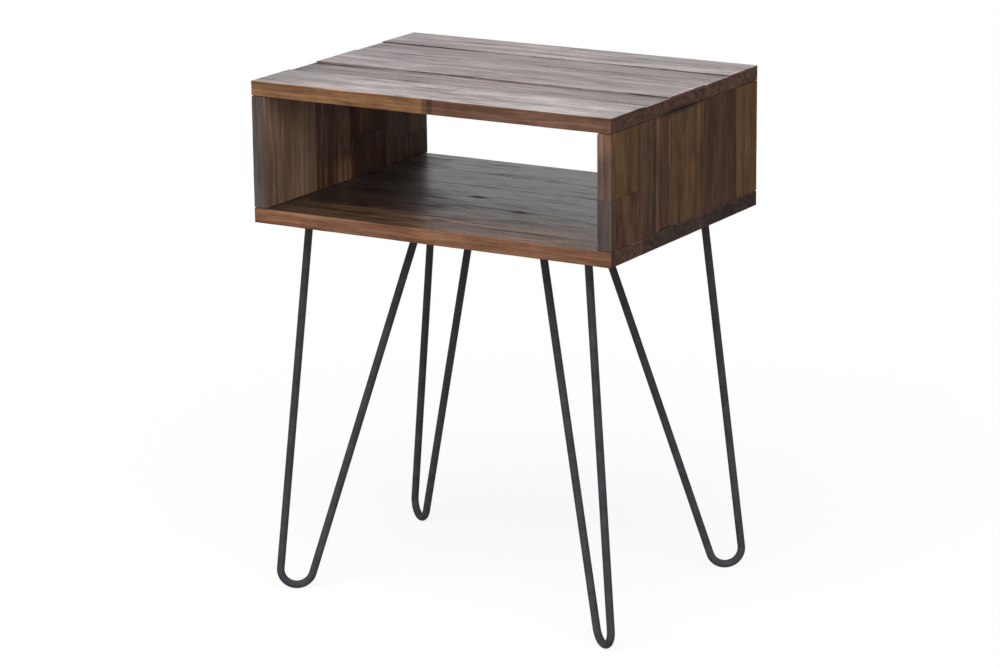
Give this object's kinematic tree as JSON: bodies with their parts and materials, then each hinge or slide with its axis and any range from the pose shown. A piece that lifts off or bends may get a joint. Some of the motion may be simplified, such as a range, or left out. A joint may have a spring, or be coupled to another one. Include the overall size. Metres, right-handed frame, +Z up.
{
  "type": "side table",
  "caption": "Small side table: an open wooden box with a shelf inside, glued up from staves, on splayed legs of bent steel rod.",
  "frame": {"origin": "on the floor under the middle of the box", "axes": "+Z up, +X to the right and +Y to the back, seen from the open front"},
  "size_m": [0.508, 0.381, 0.6635],
  "materials": {
    "top_wood": "satin oiled, grey-brown to golden staves",
    "bottom_wood": "satin oiled, red-brown to grey-brown staves",
    "side_wood": "satin oiled, dark mixed brown staves",
    "dowel_wood": "raw pale hardwood",
    "leg_steel": "satin black coat",
    "screw_steel": "zinc plated"
  },
  "bodies": {
    "root": {"top_stave_1_left": "top_wood", "top_stave_1_right": "top_wood", "top_stave_2": "top_wood", "top_stave_3": "top_wood", "top_stave_4": "top_wood", "top_stave_5": "top_wood", "bottom_stave_1": "bottom_wood", "bottom_stave_2": "bottom_wood", "bottom_stave_3": "bottom_wood", "bottom_stave_4": "bottom_wood", "bottom_stave_5": "bottom_wood", "left_side_stave_1": "side_wood", "left_side_stave_2": "side_wood", "left_side_stave_3": "side_wood", "left_side_stave_4_lower": "side_wood", "left_side_stave_4_upper": "side_wood", "left_side_stave_5_lower": "side_wood", "left_side_stave_5_upper": "side_wood", "right_side_stave_1_lower": "side_wood", "right_side_stave_1_upper": "side_wood", "right_side_stave_2": "side_wood", "right_side_stave_3": "side_wood", "right_side_stave_4": "side_wood", "right_side_stave_5": "side_wood", "left_bottom_dowel_1": "dowel_wood", "left_bottom_dowel_2": "dowel_wood", "left_bottom_dowel_3": "dowel_wood", "left_top_dowel_1": "dowel_wood", "left_top_dowel_2": "dowel_wood", "left_top_dowel_3": "dowel_wood", "right_bottom_dowel_1": "dowel_wood", "right_bottom_dowel_2": "dowel_wood", "right_bottom_dowel_3": "dowel_wood", "right_top_dowel_1": "dowel_wood", "right_top_dowel_2": "dowel_wood", "right_top_dowel_3": "dowel_wood", "front_left_leg_rod": "leg_steel", "front_right_leg_rod": "leg_steel", "back_left_leg_rod": "leg_steel", "back_right_leg_rod": "leg_steel", "front_left_leg_plate": "leg_steel", "front_right_leg_plate": "leg_steel", "back_left_leg_plate": "leg_steel", "back_right_leg_plate": "leg_steel", "front_left_leg_screw_1": "screw_steel", "front_left_leg_screw_2": "screw_steel", "front_left_leg_screw_3": "screw_steel", "front_right_leg_screw_1": "screw_steel", "front_right_leg_screw_2": "screw_steel", "front_right_leg_screw_3": "screw_steel", "back_left_leg_screw_1": "screw_steel", "back_left_leg_screw_2": "screw_steel", "back_left_leg_screw_3": "screw_steel", "back_right_leg_screw_1": "screw_steel", "back_right_leg_screw_2": "screw_steel", "back_right_leg_screw_3": "screw_steel"}
  },
  "joints": []
}
